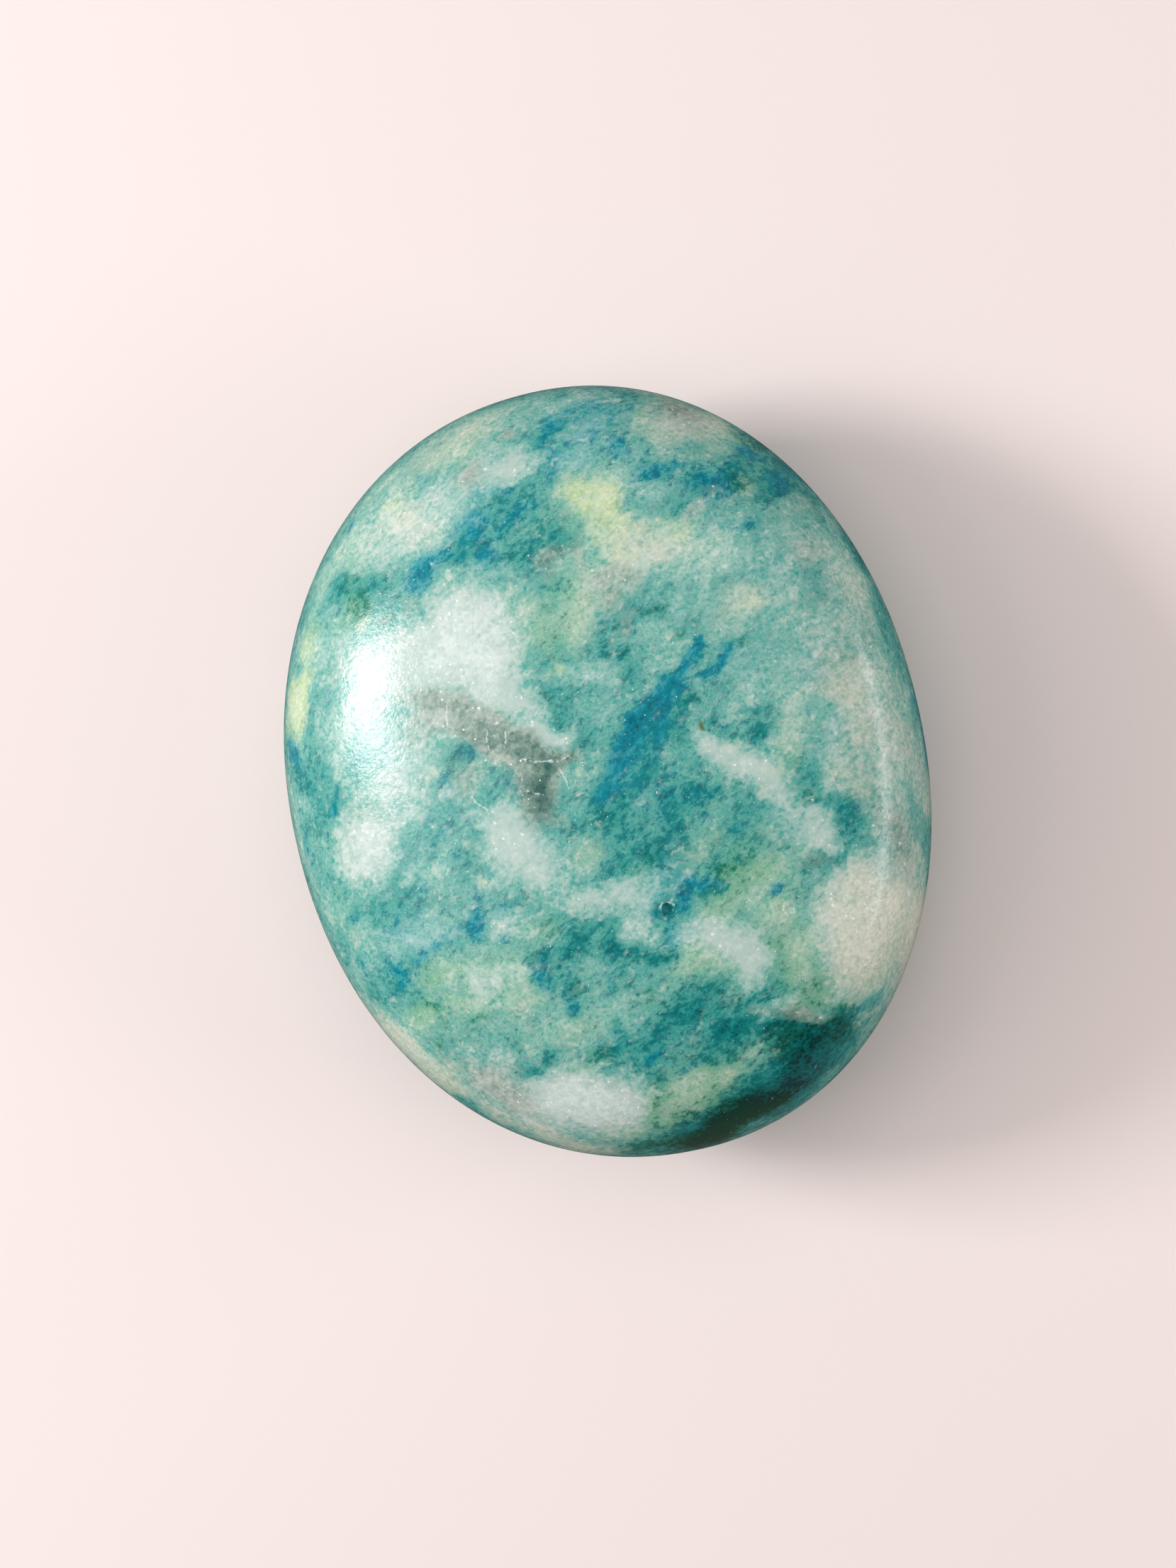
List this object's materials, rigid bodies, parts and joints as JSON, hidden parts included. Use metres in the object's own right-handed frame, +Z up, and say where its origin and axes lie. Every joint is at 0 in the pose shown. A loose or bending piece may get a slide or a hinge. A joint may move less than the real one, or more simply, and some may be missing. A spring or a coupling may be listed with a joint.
{
  "type": "palm stone",
  "caption": "Oval polished stone of blue-green rock with white quartz, domed on both faces, made to be held in the palm.",
  "frame": {"origin": "on the surface that the stone rests on, under the middle of its outline", "axes": "+Y the long way of the oval, +X across it, +Z up through the domed face"},
  "size_m": [0.0448, 0.054, 0.022],
  "materials": {
    "polished_rock": "polished to a wet gloss, blue-green rock mottled with white and grey quartz, deep blue and yellow-green"
  },
  "bodies": {
    "root": {"palm_stone": "polished_rock"}
  },
  "joints": []
}
